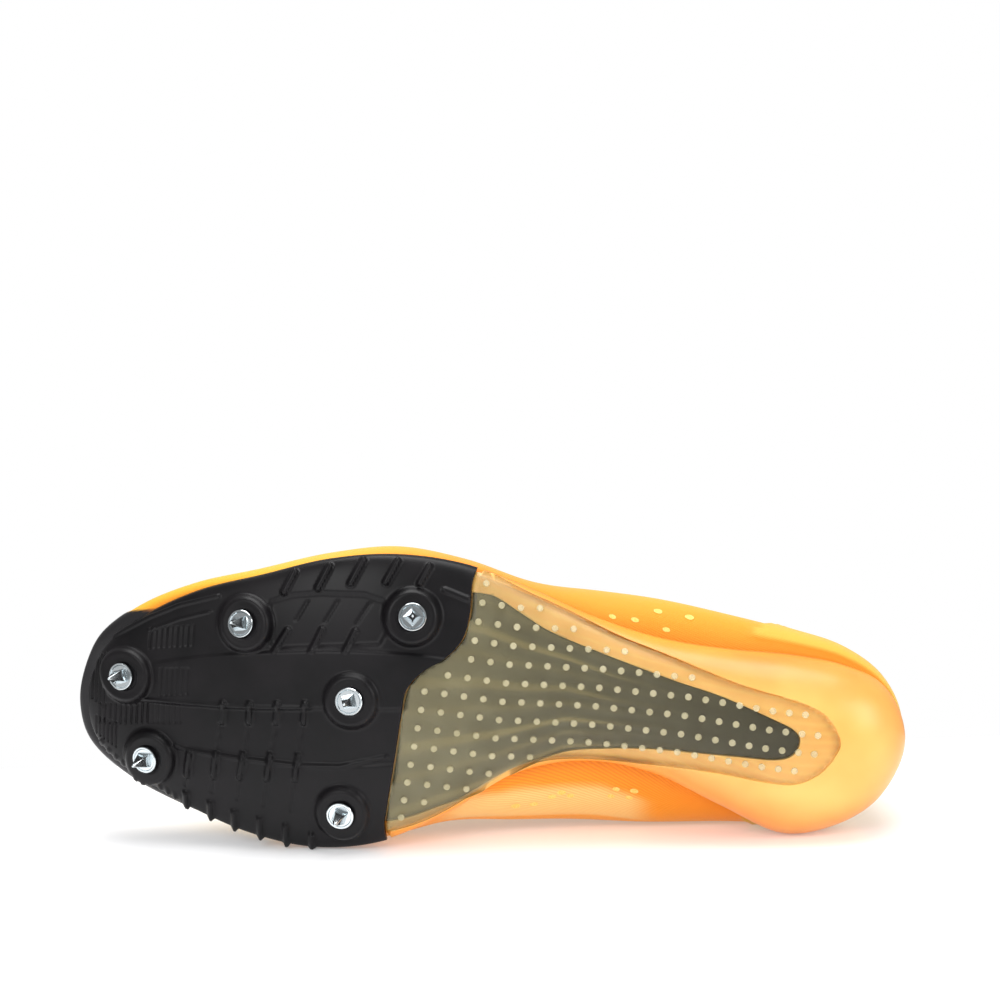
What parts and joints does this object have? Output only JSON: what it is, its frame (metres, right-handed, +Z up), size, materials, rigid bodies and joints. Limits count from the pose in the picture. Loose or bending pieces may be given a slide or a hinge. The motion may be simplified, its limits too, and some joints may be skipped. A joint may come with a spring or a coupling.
{
  "type": "track spike shoe",
  "caption": "Left running shoe for the track, lying on its inner side: mesh upper, foam sole, clear heel film and a stiff forefoot plate with steel pin spikes.",
  "frame": {"origin": "on the floor, under the middle of the box of the shoe as it lies on its inner side", "axes": "+X from the toe to the heel, -Y the way the sole faces, +Z up, which is towards the little toe"},
  "size_m": [0.2898, 0.0998, 0.1024],
  "materials": {
    "mesh_upper": "fine knitted mesh, satin",
    "foam": "moulded foam, satin skin",
    "black_plate": "moulded, satin",
    "dark_tail": "ribbed composite",
    "clear_film": "clear moulded film",
    "sock_fabric": "thin sock sheet",
    "tongue_fabric": "thin padded fabric",
    "lace_cord": "flat woven lace",
    "spike_steel": "bright turned steel"
  },
  "bodies": {
    "root": {"upper": "mesh_upper", "midsole": "foam", "spike_plate": "black_plate", "plate_tail": "dark_tail", "clear_outsole": "clear_film", "insole": "sock_fabric", "tongue": "tongue_fabric", "lace": "lace_cord", "spike_1": "spike_steel", "spike_2": "spike_steel", "spike_3": "spike_steel", "spike_4": "spike_steel", "spike_5": "spike_steel", "spike_6": "spike_steel"}
  },
  "joints": []
}
